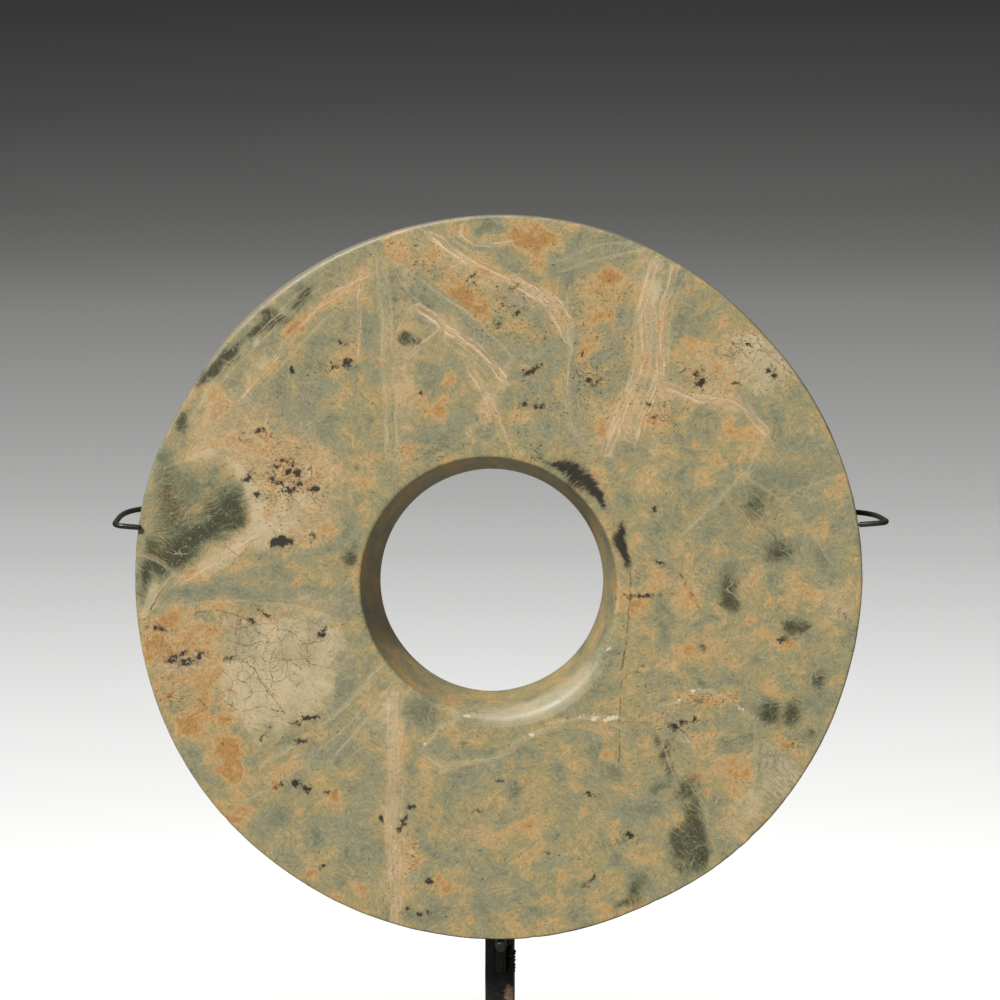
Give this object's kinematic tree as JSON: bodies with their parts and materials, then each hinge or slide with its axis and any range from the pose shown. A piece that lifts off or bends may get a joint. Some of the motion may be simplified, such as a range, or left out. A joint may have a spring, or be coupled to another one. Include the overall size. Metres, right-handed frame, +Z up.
{
  "type": "jade bi disc on stand",
  "caption": "Flat round stone disc with a tapered central hole, held upright by a post, a rest rod and two rim hooks on a plain base plate.",
  "frame": {"origin": "middle of the base plate's underside", "axes": "+Z up, the disc's front face looks along -Y, +X to the viewer's right"},
  "size_m": [0.3423, 0.13, 0.3962],
  "materials": {
    "stone": "satin polished mottled green and tan stone",
    "black_metal": "satin black paint, worn and chipped"
  },
  "bodies": {
    "root": {"bi_disc": "stone", "base_plate": "black_metal", "post": "black_metal", "rest_rod": "black_metal", "left_arm": "black_metal", "right_arm": "black_metal"}
  },
  "joints": []
}
